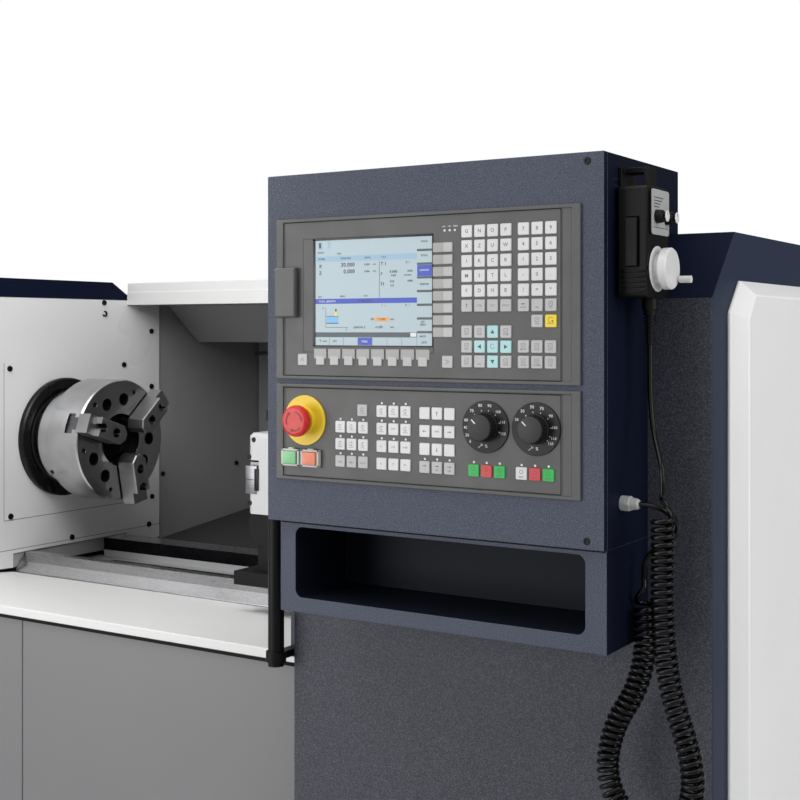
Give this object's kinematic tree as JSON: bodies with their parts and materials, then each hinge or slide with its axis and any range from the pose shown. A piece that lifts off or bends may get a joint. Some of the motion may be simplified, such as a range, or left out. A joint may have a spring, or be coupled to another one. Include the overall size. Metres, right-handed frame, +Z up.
{
  "type": "cnc turning lathe",
  "caption": "Turning lathe with a three-jaw chuck, tool turret and tailstock behind sliding hood leaves, a hinged control cabinet and a hand unit on a curly cord.",
  "frame": {"origin": "middle of the footprint, on the floor", "axes": "+X along the spindle, from the headstock to the tailstock; +Y from the operator to the back; +Z up"},
  "size_m": [2.33, 1.45, 1.556],
  "materials": {
    "navy_paint": "wrinkled powder coat",
    "grey_paint": "satin paint",
    "light_sheet": "satin paint",
    "white_paint": "satin paint",
    "polished_steel": "ground and polished",
    "black_steel": "blackened",
    "cast_iron": "machined casting",
    "bright_metal": "polished",
    "grey_plastic": "fine texture",
    "black_plastic": "satin",
    "key_plastic": "satin foil",
    "yellow_plastic": "satin",
    "red_plastic": "gloss",
    "green_plastic": "lit, gloss",
    "orange_plastic": "lit, gloss",
    "screen_glass": "gloss",
    "window_glass": "clear",
    "cord_rubber": "satin",
    "grey_gland": "satin"
  },
  "bodies": {
    "machine": {"base_frame": "grey_paint", "levelling_feet": "black_steel", "bed": "polished_steel", "front_sill": "white_paint", "screw_cover": "black_steel", "headstock_casting": "cast_iron", "headstock_cover": "navy_paint", "side_plate": "light_sheet", "bearing_ring": "black_steel", "spindle_motor": "grey_paint", "front_guard": "navy_paint", "end_cover": "light_sheet", "rear_guard": "light_sheet", "top_beam": "white_paint", "cabinet_shell": "navy_paint", "pocket_box": "navy_paint", "unit_bracket": "black_steel", "unit_body": "black_plastic", "strain_relief": "cord_rubber", "cable_gland": "grey_gland", "cord_lead": "cord_rubber", "cord_curls": "cord_rubber", "cord_tail": "cord_rubber"},
    "spindle": {"spindle": "polished_steel", "chuck_body": "polished_steel"},
    "jaw_1": {"master_jaw_1": "polished_steel", "top_jaw_1": "polished_steel"},
    "jaw_2": {"master_jaw_2": "polished_steel", "top_jaw_2": "polished_steel"},
    "jaw_3": {"master_jaw_3": "polished_steel", "top_jaw_3": "polished_steel"},
    "feed_screw_shaft": {"feed_screw": "polished_steel"},
    "carriage": {"saddle": "cast_iron"},
    "cross_carriage": {"cross_slide": "black_steel"},
    "turret": {"turret_head": "white_paint", "cutting_tool": "polished_steel"},
    "tailstock": {"tailstock_body": "white_paint"},
    "tailstock_quill": {"quill": "polished_steel"},
    "tailstock_handwheel": {"tailstock_wheel": "bright_metal"},
    "hood_front": {"hood_leaf_front": "navy_paint", "window_front": "window_glass", "door_handle": "grey_plastic"},
    "hood_rear": {"hood_leaf_rear": "navy_paint", "window_rear": "window_glass"},
    "cabinet_leaf": {"cabinet_door": "navy_paint", "operator_panel": "grey_plastic", "screen": "screen_glass", "keypads": "key_plastic", "machine_panel": "grey_plastic", "stop_disc": "yellow_plastic"},
    "interface_cover": {"usb_cover": "black_plastic"},
    "stop_button": {"stop_head": "red_plastic"},
    "start_key": {"start_button": "green_plastic"},
    "halt_key": {"halt_button": "orange_plastic"},
    "feed_override": {"feed_knob": "grey_plastic"},
    "speed_override": {"speed_knob": "grey_plastic"},
    "pulse_wheel": {"unit_wheel": "bright_metal"},
    "axis_selector": {"axis_knob": "black_plastic"},
    "step_selector": {"step_knob": "black_plastic"},
    "enable_key": {"enable_bar": "black_plastic"}
  },
  "joints": [
    {"name": "spindle_spin", "type": "hinge", "parent": "machine", "child": "spindle", "pos_m": [0, 0.029, 1.13], "axis": [1, 0, 0], "continuous": true},
    {"name": "jaw_1_slide", "type": "slide", "parent": "spindle", "child": "jaw_1", "axis": [0, 0.7547, 0.6561], "range_m": [-0.004, 0.004]},
    {"name": "jaw_2_slide", "type": "slide", "parent": "spindle", "child": "jaw_2", "axis": [0, -0.9455, 0.3256], "range_m": [-0.004, 0.004]},
    {"name": "jaw_3_slide", "type": "slide", "parent": "spindle", "child": "jaw_3", "axis": [0, 0.1908, -0.9816], "range_m": [-0.004, 0.004]},
    {"name": "carriage_slide", "type": "slide", "parent": "machine", "child": "carriage", "axis": [1, 0, 0], "range_m": [-0.44, 0.26]},
    {"name": "feed_screw_spin", "type": "hinge", "parent": "machine", "child": "feed_screw_shaft", "pos_m": [0, 0.09, 0.812], "axis": [1, 0, 0], "range_deg": [-15900, 9400]},
    {"name": "cross_feed", "type": "slide", "parent": "carriage", "child": "cross_carriage", "axis": [0, 1, 0], "range_m": [-0.05, 0.05]},
    {"name": "turret_index", "type": "hinge", "parent": "cross_carriage", "child": "turret", "pos_m": [0.255, -0.125, 1.04], "axis": [0, 0, 1], "continuous": true},
    {"name": "tailstock_slide", "type": "slide", "parent": "machine", "child": "tailstock", "axis": [1, 0, 0], "range_m": [-0.13, 0.05]},
    {"name": "tailstock_wheel_turn", "type": "hinge", "parent": "tailstock", "child": "tailstock_handwheel", "pos_m": [0, 0.029, 1.13], "axis": [1, 0, 0], "range_deg": [-5760, 1440]},
    {"name": "quill_slide", "type": "slide", "parent": "tailstock", "child": "tailstock_quill", "axis": [1, 0, 0], "range_m": [-0.0801, 0.0201]},
    {"name": "hood_front_slide", "type": "slide", "parent": "machine", "child": "hood_front", "axis": [-1, 0, 0], "range_m": [0, 1.035]},
    {"name": "hood_rear_slide", "type": "slide", "parent": "machine", "child": "hood_rear", "axis": [-1, 0, 0], "range_m": [0, 0.518]},
    {"name": "cabinet_door_hinge", "type": "hinge", "parent": "machine", "child": "cabinet_leaf", "pos_m": [0.6065, -0.679, 1.3], "axis": [0, 0, -1], "range_deg": [0, 105]},
    {"name": "interface_cover_hinge", "type": "hinge", "parent": "cabinet_leaf", "child": "interface_cover", "pos_m": [0.624, -0.6873, 1.4], "axis": [0, 0, -1], "range_deg": [0, 90]},
    {"name": "stop_push", "type": "slide", "parent": "cabinet_leaf", "child": "stop_button", "axis": [0, 1, 0], "range_m": [0, 0.005]},
    {"name": "start_push", "type": "slide", "parent": "cabinet_leaf", "child": "start_key", "axis": [0, 1, 0], "range_m": [0, 0.003], "stiffness_N_per_m": 800},
    {"name": "halt_push", "type": "slide", "parent": "cabinet_leaf", "child": "halt_key", "axis": [0, 1, 0], "range_m": [0, 0.003], "stiffness_N_per_m": 800},
    {"name": "feed_turn", "type": "hinge", "parent": "cabinet_leaf", "child": "feed_override", "pos_m": [0.922, -0.69, 1.2505], "axis": [0, -1, 0], "range_deg": [-150, 150]},
    {"name": "speed_turn", "type": "hinge", "parent": "cabinet_leaf", "child": "speed_override", "pos_m": [0.986, -0.69, 1.2505], "axis": [0, -1, 0], "range_deg": [-150, 150]},
    {"name": "pulse_wheel_spin", "type": "hinge", "parent": "machine", "child": "pulse_wheel", "pos_m": [1.11, -0.629, 1.4285], "axis": [1, 0, 0], "continuous": true},
    {"name": "axis_select", "type": "hinge", "parent": "machine", "child": "axis_selector", "pos_m": [1.11, -0.634, 1.486], "axis": [1, 0, 0], "range_deg": [-90, 90]},
    {"name": "step_select", "type": "hinge", "parent": "machine", "child": "step_selector", "pos_m": [1.11, -0.604, 1.486], "axis": [1, 0, 0], "range_deg": [-90, 90]},
    {"name": "enable_push", "type": "slide", "parent": "machine", "child": "enable_key", "axis": [0, 1, 0], "range_m": [0, 0.002], "stiffness_N_per_m": 600}
  ],
  "couplings": [
    {"joint": "jaw_2_slide", "follows": "jaw_1_slide", "ratio": 1},
    {"joint": "jaw_3_slide", "follows": "jaw_1_slide", "ratio": 1},
    {"joint": "feed_screw_spin", "follows": "carriage_slide", "rad_per_m": 628.32},
    {"joint": "quill_slide", "follows": "tailstock_wheel_turn", "m_per_rad": 0.00079577},
    {"joint": "hood_rear_slide", "follows": "hood_front_slide", "ratio": 0.5}
  ]
}
